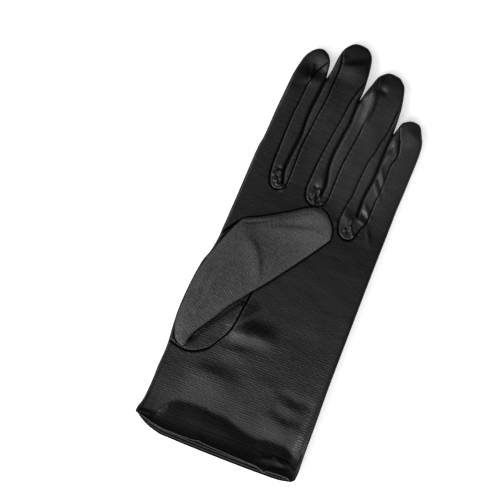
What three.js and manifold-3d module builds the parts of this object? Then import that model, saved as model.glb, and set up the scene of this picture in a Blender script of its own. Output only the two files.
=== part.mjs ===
// A wrist length dress glove in black stretch satin, the left one of a pair, empty and laid on its
// back with the palm up and the thumb folded across the palm. Millimetres. X runs to the little
// finger side, Y to the fingertips, Z up out of the palm. The back of the glove rests on z = 0.
import * as THREE from "three";
import { mergeVertices } from "three/addons/utils/BufferGeometryUtils.js";
import Module from "manifold-3d";

const GLOVE_LENGTH = 230.8; // cuff edge to the tip of the middle finger
const GLOVE_WIDTH = 92.2; // across the glove, laid flat
const HAND_HEIGHT = 9.4; // thickness of the empty hand as it lies
const FINGER_HEIGHT = 8.2;
const THUMB_HEIGHT = 7.0; // thickness of the folded thumb above the palm
const THUMB_LENGTH = 100; // along the folded edge of the thumb
const THUMB_ANGLE = 56; // degrees, the thumb's folded edge from the X axis
const CLOTH_WALL = 1.0;
const HEM_WALL = 1.5; // the hem is the cloth turned under, so it is thicker
const HEM_DEPTH = 6.3; // cuff edge to the line where the hem is stitched
const HEM_RAMP = 0.2; // length over which the hem's wall thins to the cloth's
const SEAM_GAP = 0.3; // clearance between pieces that are sewn to each other
const FINGER_GAP = 0.6; // slit between two neighbouring fingers
const THUMB_CLEARANCE = 0.45; // the folded thumb above the palm
const SWELL_RISE = 1.5; // how far the thumb piece swells out of its hole
const SWELL_REACH = 9; // how far in from the seam it swells

// Every table gives lengths as shares: "along" of GLOVE_LENGTH from the cuff edge to the fingertips,
// all other plan columns of GLOVE_WIDTH from the centre line, towards the little finger.

// The hand from the cuff to the webs between the fingers; height is a share of HAND_HEIGHT.
const HAND_ROWS = [
  { along: 0.0, left: -0.472, right: 0.48, height: 0.9 },
  { along: 0.02, left: -0.479, right: 0.495, height: 0.92 },
  { along: 0.04, left: -0.498, right: 0.498, height: 0.95 },
  { along: 0.065, left: -0.482, right: 0.497, height: 1 },
  { along: 0.08, left: -0.478, right: 0.496, height: 1 },
  { along: 0.095, left: -0.476, right: 0.495, height: 1 },
  { along: 0.12, left: -0.473, right: 0.493, height: 1 },
  { along: 0.15, left: -0.47, right: 0.492, height: 1 },
  { along: 0.18, left: -0.466, right: 0.49, height: 1 },
  { along: 0.205, left: -0.464, right: 0.488, height: 1 },
  { along: 0.24, left: -0.462, right: 0.487, height: 1 },
  { along: 0.26, left: -0.461, right: 0.486, height: 1 },
  { along: 0.28, left: -0.459, right: 0.486, height: 1 },
  { along: 0.3, left: -0.458, right: 0.486, height: 1 },
  { along: 0.315, left: -0.455, right: 0.486, height: 1 },
  { along: 0.335, left: -0.452, right: 0.486, height: 1 },
  { along: 0.38, left: -0.443, right: 0.486, height: 1 },
  { along: 0.44, left: -0.414, right: 0.486, height: 1 },
  { along: 0.5, left: -0.408, right: 0.485, height: 1 },
  { along: 0.56, left: -0.4, right: 0.486, height: 0.98 },
  { along: 0.6, left: -0.397, right: 0.487, height: 0.95 },
  { along: 0.63, left: -0.395, right: 0.487, height: 0.85 },
  { along: 0.645, left: -0.394, right: 0.487, height: 0.62 },
];

// Where the index finger's edge, the three slits and the little finger's edge run.
const FINGER_ROWS = [
  { along: 0.59, indexEdge: -0.396, slit1: -0.18, slit2: 0.051, slit3: 0.286, littleEdge: 0.487 },
  { along: 0.645, indexEdge: -0.393, slit1: -0.182, slit2: 0.051, slit3: 0.285, littleEdge: 0.487 },
  { along: 0.7, indexEdge: -0.386, slit1: -0.195, slit2: 0.041, slit3: 0.291, littleEdge: 0.49 },
  { along: 0.75, indexEdge: -0.372, slit1: -0.18, slit2: 0.033, slit3: 0.301, littleEdge: 0.494 },
  { along: 0.8, indexEdge: -0.366, slit1: -0.182, slit2: 0.049, slit3: 0.305, littleEdge: 0.496 },
  { along: 0.835, indexEdge: -0.358, slit1: -0.177, slit2: 0.058, slit3: 0.311, littleEdge: 0.489 },
];

// The free end of each finger above those rows, and which two columns its sides follow.
const FINGERS = [
  {
    from: "indexEdge",
    to: "slit1",
    tip: [
      { along: 0.88, left: -0.35, right: -0.165 },
      { along: 0.91, left: -0.335, right: -0.162 },
      { along: 0.93, left: -0.321, right: -0.167 },
      { along: 0.945, left: -0.296, right: -0.184 },
      { along: 0.955, left: -0.268, right: -0.203 },
      { along: 0.96, left: -0.248, right: -0.217 },
    ],
  },
  {
    from: "slit1",
    to: "slit2",
    tip: [
      { along: 0.88, left: -0.165, right: 0.063 },
      { along: 0.9, left: -0.155, right: 0.068 },
      { along: 0.925, left: -0.147, right: 0.063 },
      { along: 0.955, left: -0.141, right: 0.057 },
      { along: 0.975, left: -0.128, right: 0.049 },
      { along: 0.99, left: -0.105, right: 0.028 },
      { along: 0.997, left: -0.078, right: -0.005 },
      { along: 1.0, left: -0.063, right: -0.032 },
    ],
  },
  {
    from: "slit2",
    to: "slit3",
    tip: [
      { along: 0.865, left: 0.06, right: 0.311 },
      { along: 0.89, left: 0.067, right: 0.307 },
      { along: 0.907, left: 0.08, right: 0.303 },
      { along: 0.925, left: 0.094, right: 0.292 },
      { along: 0.945, left: 0.113, right: 0.278 },
      { along: 0.955, left: 0.135, right: 0.257 },
      { along: 0.963, left: 0.171, right: 0.229 },
    ],
  },
  {
    from: "slit3",
    to: "littleEdge",
    tip: [
      { along: 0.848, left: 0.32, right: 0.48 },
      { along: 0.862, left: 0.331, right: 0.46 },
      { along: 0.872, left: 0.352, right: 0.444 },
      { along: 0.88, left: 0.388, right: 0.432 },
    ],
  },
];

// The seam lines of each fourchette on the palm side, from the web up to the fingertips.
const FOURCHETTES = [
  {
    name: "fourchette_index_middle",
    rows: [
      { along: 0.625, left: -0.23, right: -0.182 },
      { along: 0.65, left: -0.264, right: -0.154 },
      { along: 0.68, left: -0.271, right: -0.152 },
      { along: 0.76, left: -0.268, right: -0.144 },
      { along: 0.825, left: -0.256, right: -0.128 },
      { along: 0.867, left: -0.247, right: -0.116 },
      { along: 0.906, left: -0.223, right: -0.111 },
      { along: 0.94, left: -0.158, right: -0.109 },
      { along: 0.97, left: -0.141, right: -0.137 },
    ],
  },
  {
    name: "fourchette_middle_ring",
    rows: [
      { along: 0.617, left: 0.0, right: 0.048 },
      { along: 0.635, left: -0.032, right: 0.087 },
      { along: 0.672, left: -0.04, right: 0.097 },
      { along: 0.725, left: -0.03, right: 0.1 },
      { along: 0.775, left: -0.015, right: 0.116 },
      { along: 0.833, left: 0.008, right: 0.133 },
      { along: 0.883, left: 0.028, right: 0.151 },
      { along: 0.92, left: 0.073, right: 0.133 },
      { along: 0.953, left: 0.114, right: 0.119 },
    ],
  },
  {
    name: "fourchette_ring_little",
    rows: [
      { along: 0.573, left: 0.247, right: 0.28 },
      { along: 0.585, left: 0.215, right: 0.312 },
      { along: 0.615, left: 0.2, right: 0.341 },
      { along: 0.665, left: 0.216, right: 0.353 },
      { along: 0.715, left: 0.226, right: 0.361 },
      { along: 0.76, left: 0.235, right: 0.362 },
      { along: 0.802, left: 0.261, right: 0.376 },
      { along: 0.833, left: 0.28, right: 0.351 },
      { along: 0.866, left: 0.287, right: 0.328 },
      { along: 0.917, left: 0.309, right: 0.315 },
    ],
  },
];

// The hole in the trank that the thumb piece is sewn into, from its cuff end up.
const THUMB_HOLE = [
  { along: 0.208, left: -0.382, right: -0.336 },
  { along: 0.225, left: -0.435, right: -0.256 },
  { along: 0.244, left: -0.459, right: -0.213 },
  { along: 0.263, left: -0.47, right: -0.184 },
  { along: 0.285, left: -0.473, right: -0.158 },
  { along: 0.317, left: -0.471, right: -0.14 },
  { along: 0.349, left: -0.466, right: -0.13 },
  { along: 0.38, left: -0.459, right: -0.124 },
  { along: 0.412, left: -0.439, right: -0.122 },
  { along: 0.441, left: -0.425, right: -0.132 },
  { along: 0.466, left: -0.416, right: -0.15 },
  { along: 0.501, left: -0.36, right: -0.223 },
  { along: 0.525, left: -0.328, right: -0.304 },
];

// How the thumb piece swells from its seam: "inwards" is a share of SWELL_REACH, "rise" a share of
// SWELL_RISE.
const SWELL_ROWS = [
  { inwards: 0, rise: 0 },
  { inwards: 0.2, rise: 0.6 },
  { inwards: 0.5, rise: 0.95 },
  { inwards: 1, rise: 1 },
];

// The thumb laid flat. Here "along" is a share of THUMB_LENGTH and both sides are shares of it too,
// measured square to the folded edge, which starts at THUMB_START.
const THUMB_START = { along: 0.23, across: -0.367 };
const THUMB_ROWS = [
  { along: -0.03, near: 0.016, far: 0.076 },
  { along: -0.015, near: 0.002, far: 0.09 },
  { along: 0.05, near: 0.0, far: 0.15 },
  { along: 0.175, near: 0.0, far: 0.23 },
  { along: 0.29, near: 0.0, far: 0.284 },
  { along: 0.44, near: 0.0, far: 0.32 },
  { along: 0.59, near: 0.0, far: 0.343 },
  { along: 0.69, near: 0.0, far: 0.303 },
  { along: 0.83, near: 0.0, far: 0.238 },
  { along: 0.91, near: 0.002, far: 0.204 },
  { along: 0.95, near: 0.035, far: 0.178 },
  { along: 0.97, near: 0.074, far: 0.145 },
  { along: 0.978, near: 0.096, far: 0.122 },
];

// The cuff edge of the palm layer and of the back layer, which reaches a little further out.
const MOUTH_ROWS = [
  { across: -0.504, palm: 0.038, back: 0.029 },
  { across: -0.473, palm: 0.034, back: 0.023 },
  { across: -0.43, palm: 0.031, back: 0.016 },
  { across: -0.386, palm: 0.026, back: 0.01 },
  { across: -0.321, palm: 0.022, back: 0.003 },
  { across: 0.0, palm: 0.021, back: 0.0 },
  { across: 0.286, palm: 0.019, back: 0.0 },
  { across: 0.406, palm: 0.018, back: 0.001 },
  { across: 0.466, palm: 0.012, back: 0.003 },
  { across: 0.488, palm: 0.016, back: 0.008 },
  { across: 0.503, palm: 0.024, back: 0.017 },
];

// Folds (rise above 0) and dents (below 0) of the palm layer: turn in degrees from the X axis,
// length and breadth as shares of GLOVE_WIDTH, rise as a share of HAND_HEIGHT.
const FOLDS = [
  { along: 0.278, across: -0.06, turn: -14, length: 0.11, breadth: 0.035, rise: 0.16 },
  { along: 0.312, across: -0.017, turn: -12, length: 0.12, breadth: 0.033, rise: -0.16 },
  { along: 0.326, across: -0.104, turn: 51, length: 0.065, breadth: 0.022, rise: 0.09 },
  { along: 0.255, across: -0.104, turn: -12, length: 0.087, breadth: 0.022, rise: -0.08 },
  { along: 0.195, across: -0.115, turn: 0, length: 0.055, breadth: 0.043, rise: -0.08 },
  { along: 0.198, across: 0.33, turn: -8, length: 0.075, breadth: 0.024, rise: 0.06 },
  { along: 0.181, across: 0.35, turn: -8, length: 0.055, breadth: 0.022, rise: -0.06 },
  { along: 0.14, across: 0.308, turn: -4, length: 0.085, breadth: 0.024, rise: -0.06 },
  { along: 0.085, across: -0.234, turn: 6, length: 0.15, breadth: 0.075, rise: -0.17 },
  { along: 0.079, across: 0.026, turn: -6, length: 0.16, breadth: 0.07, rise: -0.16 },
  { along: 0.072, across: 0.297, turn: 0, length: 0.14, breadth: 0.06, rise: -0.16 },
  { along: 0.96, across: -0.048, turn: 14, length: 0.065, breadth: 0.02, rise: -0.09 },
  { along: 0.907, across: 0.163, turn: 0, length: 0.05, breadth: 0.02, rise: -0.07 },
  { along: 0.898, across: -0.223, turn: -50, length: 0.043, breadth: 0.017, rise: -0.08 },
  { along: 0.785, across: 0.338, turn: 70, length: 0.065, breadth: 0.012, rise: 0.09 },
  { along: 0.693, across: 0.317, turn: 80, length: 0.028, breadth: 0.017, rise: 0.06 },
  { along: 0.802, across: 0.162, turn: 85, length: 0.28, breadth: 0.017, rise: 0.03 },
  { along: 0.811, across: -0.066, turn: 84, length: 0.28, breadth: 0.017, rise: 0.03 },
  { along: 0.655, across: -0.22, turn: 8, length: 0.025, breadth: 0.01, rise: -0.09 },
  { along: 0.633, across: 0.022, turn: 0, length: 0.015, breadth: 0.017, rise: -0.09 },
  { along: 0.618, across: 0.247, turn: 76, length: 0.043, breadth: 0.01, rise: -0.08 },
];

const TOP_STEPS = 14; // steps across the upper side of the hand
const BOTTOM_STEPS = 8;
const FINGER_TOP_STEPS = 9;
const FINGER_BOTTOM_STEPS = 6;
const EDGE_CROWDING = 0.55; // 0 spaces a section's points evenly, 1 crowds them to its edges
const HAND_ROUNDNESS = 3.2; // exponent of the hand's section, higher is boxier
const FINGER_ROUNDNESS = 2.7;
const THUMB_THINNING = 0.3; // exponent by which the thumb is thinner where it is narrower
const WIDEST_AT = 0.42; // share of the height at which a section is widest
const FLOOR_PRESS = 0.09; // share of the height that the surface below presses flat
const FAR = 60; // cutters reach this far beyond the cloth

const wasm = await Module();
wasm.setup();

const acrossToX = (share) => share * GLOVE_WIDTH;
const alongToY = (share) => (share - 0.5) * GLOVE_LENGTH;
const yToAlong = (y) => y / GLOVE_LENGTH + 0.5;

// Reads a table at any place between two of its rows.
function tableAt(rows, key, column, value) {
  if (value <= rows[0][key]) return rows[0][column];
  for (let i = 1; i < rows.length; i += 1) {
    const low = rows[i - 1];
    const high = rows[i];
    if (value <= high[key]) {
      const share = (value - low[key]) / (high[key] - low[key]);
      return low[column] + (high[column] - low[column]) * share;
    }
  }
  return rows[rows.length - 1][column];
}

// Height of all folds and dents together at a point of the palm layer.
function foldAt(x, y) {
  let sum = 0;
  for (const fold of FOLDS) {
    const turn = THREE.MathUtils.degToRad(fold.turn);
    const dx = x - acrossToX(fold.across);
    const dy = y - alongToY(fold.along);
    const lengthways = (dx * Math.cos(turn) + dy * Math.sin(turn)) / acrossToX(fold.length);
    const sideways = (dy * Math.cos(turn) - dx * Math.sin(turn)) / acrossToX(fold.breadth);
    sum += fold.rise * HAND_HEIGHT * Math.exp(-lengthways * lengthways - sideways * sideways);
  }
  return sum;
}

// How full a section is at a place across it, 1 in the middle and 0 at its edges.
function fullness(across, roundness) {
  return Math.pow(Math.max(0, 1 - Math.pow(Math.abs(across), roundness)), 1 / roundness);
}

// Places across a section from one edge to the other, closer together near the edges.
function spread(steps) {
  return Array.from({ length: steps + 1 }, (_, i) => {
    const even = (2 * i) / steps - 1;
    return (1 - EDGE_CROWDING) * even + EDGE_CROWDING * Math.sin((even * Math.PI) / 2);
  });
}

// Upper surface of the hand without its folds.
function handTop(x, y) {
  const along = yToAlong(y);
  const left = acrossToX(tableAt(HAND_ROWS, "along", "left", along));
  const right = acrossToX(tableAt(HAND_ROWS, "along", "right", along));
  const height = HAND_HEIGHT * tableAt(HAND_ROWS, "along", "height", along);
  const across = (2 * x - left - right) / (right - left);
  return height * (WIDEST_AT + (1 - WIDEST_AT) * fullness(across, HAND_ROUNDNESS));
}

// One closed section across the glove at y, "inset" in from its outer surface, with a flat floor.
function flatSection({ y, left, right, height, inset, roundness, topSteps, bottomSteps, folded }) {
  const centre = (left + right) / 2;
  const half = Math.max((right - left) / 2 - inset, SEAM_GAP);
  const widest = WIDEST_AT * height;
  const up = Math.max(height - widest - inset, SEAM_GAP);
  const down = Math.max(widest + FLOOR_PRESS * height - inset, SEAM_GAP);
  const ring = [];
  for (const across of spread(topSteps)) {
    const x = centre - across * half;
    const full = fullness(across, roundness);
    ring.push([x, y, widest + up * full + (folded ? full * foldAt(x, y) : 0)]);
  }
  for (const across of spread(bottomSteps).slice(1, -1)) {
    const z = widest - down * fullness(across, roundness);
    ring.push([centre + across * half, y, Math.max(inset, z)]);
  }
  return ring;
}

// Joins sections of equal point count into one closed solid, with a fan over each end.
function loft(rings) {
  const count = rings[0].length;
  const points = rings.flat();
  const faces = [];
  for (let r = 0; r + 1 < rings.length; r += 1) {
    for (let i = 0; i < count; i += 1) {
      const a = r * count + i;
      const b = r * count + ((i + 1) % count);
      faces.push([a, b, a + count], [b, b + count, a + count]);
    }
  }
  for (const r of [0, rings.length - 1]) {
    const middle = [0, 1, 2].map((k) => rings[r].reduce((sum, p) => sum + p[k], 0) / count);
    points.push(middle);
    for (let i = 0; i < count; i += 1) {
      const edge = [r * count + ((i + 1) % count), r * count + i];
      faces.push([...(r === 0 ? edge : edge.reverse()), points.length - 1]);
    }
  }
  const build = (list) =>
    new wasm.Manifold(
      new wasm.Mesh({
        numProp: 3,
        vertProperties: new Float32Array(points.flat()),
        triVerts: new Uint32Array(list.flat()),
      }),
    );
  const made = build(faces);
  return made.volume() < 0 ? build(faces.map(([a, b, c]) => [a, c, b])) : made;
}

// Upright prism over an outline in the XY plane.
function prism(outline, bottom, top) {
  const shape = new THREE.Shape(outline.map(([x, y]) => new THREE.Vector2(x, y)));
  const geometry = new THREE.ExtrudeGeometry(shape, { depth: top - bottom, bevelEnabled: false });
  geometry.translate(0, 0, bottom);
  geometry.deleteAttribute("normal");
  geometry.deleteAttribute("uv");
  const merged = mergeVertices(geometry, 1e-4);
  return new wasm.Manifold(
    new wasm.Mesh({
      numProp: 3,
      vertProperties: merged.attributes.position.array,
      triVerts: new Uint32Array(merged.index.array),
    }),
  );
}

const joined = (solids) => solids.reduce((sum, solid) => sum.add(solid));
const without = (solid, cutters) => cutters.reduce((rest, cutter) => rest.subtract(cutter), solid);

const mouthY = alongToY(0);
const hemY = alongToY(tableAt(MOUTH_ROWS, "across", "palm", 0)) + HEM_DEPTH;

// The hand, solid. Its inside is the same shape one wall in, a thicker wall within the hem.
function hand(inside) {
  const alongs = HAND_ROWS.map((row) => row.along);
  const hemAlong = yToAlong(hemY);
  const ramp = [yToAlong(hemY - HEM_RAMP / 2), yToAlong(hemY + HEM_RAMP / 2)];
  const stations = [...alongs, ...ramp].sort((a, b) => a - b);
  const rings = stations.map((along) => {
    const wall = along < hemAlong ? HEM_WALL : CLOTH_WALL;
    const isFarEnd = along === alongs[alongs.length - 1];
    const isMouth = along === alongs[0];
    return flatSection({
      y: alongToY(along) - (inside && isFarEnd ? CLOTH_WALL : 0) - (inside && isMouth ? FAR : 0),
      left: acrossToX(tableAt(HAND_ROWS, "along", "left", along)),
      right: acrossToX(tableAt(HAND_ROWS, "along", "right", along)),
      height: HAND_HEIGHT * tableAt(HAND_ROWS, "along", "height", along),
      inset: inside ? wall : 0,
      roundness: HAND_ROUNDNESS,
      topSteps: TOP_STEPS,
      bottomSteps: BOTTOM_STEPS,
      folded: true,
    });
  });
  return loft(rings);
}

// One finger, solid, from inside the hand to its tip.
function finger({ from, to, tip }, inset) {
  const rooted = FINGER_ROWS.map((row) => ({ along: row.along, left: row[from], right: row[to] }));
  const rows = [...rooted, ...tip];
  const gapLeft = from === "indexEdge" ? 0 : FINGER_GAP / 2;
  const gapRight = to === "littleEdge" ? 0 : FINGER_GAP / 2;
  const rootY = alongToY(rows[0].along);
  const tipY = alongToY(rows[rows.length - 1].along);
  const shrink = (tipY - inset - rootY) / (tipY - rootY);
  const widest = Math.max(...rows.map((row) => acrossToX(row.right - row.left)));
  const rings = rows.map((row, i) => {
    const tuck = i === 0 ? 2 * CLOTH_WALL : 0;
    const left = acrossToX(row.left) + gapLeft + tuck;
    const right = acrossToX(row.right) - gapRight - tuck;
    return flatSection({
      y: rootY + (alongToY(row.along) - rootY) * shrink,
      left,
      right,
      height: FINGER_HEIGHT * Math.sqrt(Math.min(1, (right - left) / widest)),
      inset,
      roundness: FINGER_ROUNDNESS,
      topSteps: FINGER_TOP_STEPS,
      bottomSteps: FINGER_BOTTOM_STEPS,
      folded: true,
    });
  });
  return loft(rings);
}

// Outline of a region given by its two sides, moved out by "grow" (in, when it is negative).
function bandOutline(rows, grow) {
  const first = alongToY(rows[0].along);
  const last = alongToY(rows[rows.length - 1].along);
  const middle = (first + last) / 2;
  const stretch = 1 + (2 * grow) / (last - first);
  const sides = rows.map((row) => {
    const centre = acrossToX(row.left + row.right) / 2;
    const half = Math.max(acrossToX(row.right - row.left) / 2 + grow, SEAM_GAP / 2);
    return { y: middle + (alongToY(row.along) - middle) * stretch, centre, half };
  });
  return [
    ...sides.map(({ y, centre, half }) => [centre - half, y]),
    ...sides.map(({ y, centre, half }) => [centre + half, y]).reverse(),
  ];
}

// The swelling of the thumb piece in its hole, "inset" in from its outer surface.
function teardrop(inset, floor) {
  const outer = bandOutline(THUMB_HOLE, -inset);
  const rings = SWELL_ROWS.map(({ inwards, rise }) =>
    bandOutline(THUMB_HOLE, -inset - inwards * SWELL_REACH).map(([x, y]) => [
      x,
      y,
      handTop(x, y) + rise * SWELL_RISE - inset,
    ]),
  );
  return loft([outer.map(([x, y]) => [x, y, floor]), ...rings]);
}

// A point of the flat thumb, "along" its folded edge and "square" away from it.
function thumbPoint(along, square) {
  const angle = THREE.MathUtils.degToRad(THUMB_ANGLE);
  const a = along * THUMB_LENGTH;
  return [
    acrossToX(THUMB_START.across) + a * Math.cos(angle) - square * Math.sin(angle),
    alongToY(THUMB_START.along) + a * Math.sin(angle) + square * Math.cos(angle),
  ];
}

// The folded thumb, solid, draped over the palm; with a floor it reaches down to that instead.
function thumb(inset, floor) {
  const first = THUMB_ROWS[0].along + inset / THUMB_LENGTH;
  const last = THUMB_ROWS[THUMB_ROWS.length - 1].along - inset / THUMB_LENGTH;
  const broadest = Math.max(...THUMB_ROWS.map((row) => row.far - row.near)) * THUMB_LENGTH;
  const rings = THUMB_ROWS.map(({ along, near, far }) => {
    const breadth = (far - near) * THUMB_LENGTH;
    const centre = ((far + near) / 2) * THUMB_LENGTH;
    const height = THUMB_HEIGHT * Math.pow(Math.min(1, breadth / broadest), THUMB_THINNING);
    const station = Math.min(Math.max(along, first), last);
    const half = Math.max(breadth / 2 - inset, SEAM_GAP);
    const up = Math.max(height / 2 - inset, SEAM_GAP);
    const at = (across, side) => {
      const [x, y] = thumbPoint(station, centre + across * half);
      const lies = handTop(x, y) + THUMB_CLEARANCE + height / 2;
      const z = lies + side * up * fullness(across, FINGER_ROUNDNESS);
      return [x, y, floor !== undefined && side < 0 ? floor : z];
    };
    return [
      ...spread(FINGER_TOP_STEPS).map((across) => at(across, 1)),
      ...spread(FINGER_TOP_STEPS)
        .reverse()
        .slice(1, -1)
        .map((across) => at(across, -1)),
    ];
  });
  return loft(rings);
}

// Everything on the cuff side of a line across the glove, moved by "shift" towards the fingers.
function cuffSide(lineAt, shift, bottom, top) {
  const line = MOUTH_ROWS.map((row) => [acrossToX(row.across), lineAt(row) + shift]);
  const [, leftY] = line[0];
  const [, rightY] = line[line.length - 1];
  const farSide = [
    [-FAR, leftY],
    [-FAR, mouthY - FAR],
    [FAR, mouthY - FAR],
    [FAR, rightY],
  ];
  return prism([...farSide, ...line.reverse()], bottom, top);
}

const handInside = hand(true);
const cloth = joined([hand(false), ...FINGERS.map((row) => finger(row, 0))]);
const hollow = joined([handInside, ...FINGERS.map((row) => finger(row, CLOTH_WALL))]);
const palmEdge = (row) => alongToY(row.palm);
const backEdge = (row) => alongToY(row.back);
const sideHeight = WIDEST_AT * HAND_HEIGHT; // where the palm layer turns into the back layer
const shell = without(cloth, [
  hollow,
  cuffSide(palmEdge, 0, sideHeight, FAR),
  cuffSide(backEdge, 0, -FAR, FAR),
]);

// Cutters for the pieces: "grow" widens one for the neighbour that is cut away around it.
const sideFloor = CLOTH_WALL + SEAM_GAP;
const fourchetteCutter = (row, grow) => prism(bandOutline(row.rows, grow), sideFloor - grow, FAR);
const hemCutter = (grow) =>
  joined([
    cuffSide(() => hemY, grow, sideHeight - grow, FAR),
    cuffSide(backEdge, HEM_DEPTH + grow, -FAR, sideHeight + grow),
    cuffSide(backEdge, HEM_DEPTH + grow, sideHeight - SEAM_GAP, sideHeight + SEAM_GAP).intersect(
      cuffSide(() => hemY, grow, -FAR, FAR),
    ),
  ]);

const trank = without(shell, [
  ...FOURCHETTES.map((row) => fourchetteCutter(row, SEAM_GAP)),
  prism(bandOutline(THUMB_HOLE, SEAM_GAP), sideFloor - SEAM_GAP, FAR),
  hemCutter(SEAM_GAP),
]);
const hem = shell.intersect(hemCutter(0));

const passage = thumb(CLOTH_WALL + SEAM_GAP, sideFloor + CLOTH_WALL).intersect(
  prism(bandOutline(THUMB_HOLE, -2 * CLOTH_WALL), -FAR, FAR),
);
const thumbPiece = without(joined([teardrop(0, sideFloor), thumb(0)]), [
  teardrop(CLOTH_WALL, sideFloor + CLOTH_WALL),
  thumb(CLOTH_WALL),
  passage,
  handInside,
]);

const pieces = [
  { name: "trank", solid: trank, colour: 0x1f1f21 },
  { name: "thumb", solid: thumbPiece, colour: 0x2b2b2e },
  ...FOURCHETTES.map((row) => ({
    name: row.name,
    solid: shell.intersect(fourchetteCutter(row, 0)),
    colour: 0x262629,
  })),
  { name: "cuff_hem", solid: hem, colour: 0x19191b },
];

const glove = new THREE.Group();
glove.name = "wrist_length_dress_glove";
for (const { name, solid, colour } of pieces) {
  const mesh = solid.getMesh();
  const geometry = new THREE.BufferGeometry();
  const positions = new Float32Array((mesh.vertProperties.length / mesh.numProp) * 3);
  for (let i = 0; i < positions.length / 3; i += 1) {
    for (let k = 0; k < 3; k += 1) positions[3 * i + k] = mesh.vertProperties[i * mesh.numProp + k];
  }
  geometry.setAttribute("position", new THREE.BufferAttribute(positions, 3));
  geometry.setIndex(new THREE.BufferAttribute(new Uint32Array(mesh.triVerts), 1));
  const material = new THREE.MeshStandardMaterial({ color: colour, roughness: 0.5, metalness: 0 });
  const piece = new THREE.Mesh(geometry, material);
  piece.name = name;
  glove.add(piece);
}

export default glove;
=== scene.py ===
# %% [markdown]
# # A wrist length dress glove in black satin
# The glove is empty and lies on its back, palm up, with its thumb folded across the palm. It was
# sewn from flat pieces, so this scene cuts the same flat pieces out of a fine mesh, and then
# lifts each point to the height where the soft cloth lies. X runs to the little finger's side,
# Y to the fingertips and Z up out of the palm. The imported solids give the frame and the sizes.

# %% Load the frame
import math

import bpy
import numpy as np
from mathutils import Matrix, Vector
from mathutils.geometry import delaunay_2d_cdt


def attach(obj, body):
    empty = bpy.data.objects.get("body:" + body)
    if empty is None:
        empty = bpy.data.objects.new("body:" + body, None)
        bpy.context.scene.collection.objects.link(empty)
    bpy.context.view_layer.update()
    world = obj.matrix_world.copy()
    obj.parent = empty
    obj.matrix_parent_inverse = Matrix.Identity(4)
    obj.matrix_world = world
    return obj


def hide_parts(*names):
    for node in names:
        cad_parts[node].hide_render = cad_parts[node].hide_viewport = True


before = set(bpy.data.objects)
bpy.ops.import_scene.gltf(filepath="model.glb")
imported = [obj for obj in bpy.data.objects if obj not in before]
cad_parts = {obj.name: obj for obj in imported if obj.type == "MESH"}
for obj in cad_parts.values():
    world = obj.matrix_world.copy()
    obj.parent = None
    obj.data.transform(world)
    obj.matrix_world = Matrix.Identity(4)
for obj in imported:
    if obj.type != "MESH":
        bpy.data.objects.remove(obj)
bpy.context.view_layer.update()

MM = 0.001
scene = bpy.context.scene

# %% [markdown]
# ## The camera and the floor
# The glove is looked at from straight above, turned about 21 degrees clockwise in the picture.
# A long lens high up keeps the higher parts from looking larger. The floor is a plain white
# sheet, marked as a stage, since it isn't part of the glove.

# %% Camera
VIEW_CENTRE = (-19.9, -6.4)  # where the camera looks, in mm
VIEW_WIDTH = 264.3  # how much of the floor the picture spans, in mm
CLOTH_LEVEL = 3.0  # the height at which that width holds, in mm
LEAN = 21.0  # degrees
LENS = 120.0
SENSOR = 36.0

camera_data = bpy.data.cameras.new("camera")
camera_data.lens = LENS
camera_data.sensor_width = SENSOR
camera_data.clip_start = 0.01
camera_data.clip_end = 50.0
camera = bpy.data.objects.new("camera", camera_data)
camera_height = VIEW_WIDTH * LENS / SENSOR + CLOTH_LEVEL
camera.location = Vector((*VIEW_CENTRE, camera_height)) * MM
camera.rotation_euler = (0.0, 0.0, math.radians(LEAN))
scene.collection.objects.link(camera)
scene.camera = camera
print("camera", round(camera_height), "mm above the floor")

# %% Floor
FLOOR_REACH = 3.0  # metres from the middle to the side
FLOOR_DROP = 0.0002  # metres below the glove, so that the two don't share a surface


def new_object(name, points, faces):
    """A smooth shaded mesh object from lists of points and faces."""
    mesh = bpy.data.meshes.new(name)
    mesh.from_pydata([tuple(p) for p in points], [], [tuple(f) for f in faces])
    mesh.validate()
    mesh.polygons.foreach_set("use_smooth", [True] * len(mesh.polygons))
    made = bpy.data.objects.new(name, mesh)
    scene.collection.objects.link(made)
    return made


corners = [(-1, -1), (1, -1), (1, 1), (-1, 1)]
floor = new_object(
    "floor", [(x * FLOOR_REACH, y * FLOOR_REACH, -FLOOR_DROP) for x, y in corners], [(0, 1, 2, 3)]
)
print("floor", FLOOR_REACH * 2, "m wide")

# %% [markdown]
# ## The outlines of the flat pieces
# Each line below is a short list of places in millimetres, read along the edge or the seam that
# it stands for. They could be traced with a Bezier curve by hand, but a list is easier to read
# and to change. The outline of the whole glove looks like a comb: it runs up the side, over each
# fingertip, and down and up each slit between two fingers.

# %% Sides, fingertips and slits
LEFT_SIDE = [
    (-46.4, -125), (-46.4, -112), (-46.4, -106.2), (-46, -103.5), (-44.9, -100), (-44.3, -95),
    (-43.9, -88), (-43.8, -80), (-43.3, -72), (-43.4, -66), (-44.1, -58), (-44.5, -49.4),
    (-44.3, -42), (-43.8, -34.7), (-43, -27.4), (-41.7, -20), (-39.5, -13.4), (-38.3, -6),
    (-38, 0), (-37.3, 15), (-36.7, 30), (-36, 46), (-35.2, 51), (-34.7, 57), (-34.2, 68),
    (-33.5, 77), (-32.6, 88), (-31.3, 95), (-30, 99.6), (-27.8, 103.3), (-24.8, 105.8),
    (-21.9, 106.5), (-19, 105.2), (-17, 102.9), (-15.9, 99.9), (-15.5, 96),
]
SLIT_1 = [
    (-15.2, 91.8), (-16.2, 82.4), (-17, 75), (-17.2, 68), (-16.9, 60), (-17.9, 51),
    (-18.7, 40), (-17, 33.3),
]
MIDDLE_TIP = [
    (-14.5, 95), (-13.8, 98.7), (-13.2, 105), (-12, 110), (-10, 113), (-7.6, 115),
    (-4.8, 115.6), (-1.4, 115.4), (1.2, 114.2), (3.7, 111), (4.9, 105.6), (5.4, 101), (5.8, 95),
    (5.7, 91),
]
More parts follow.
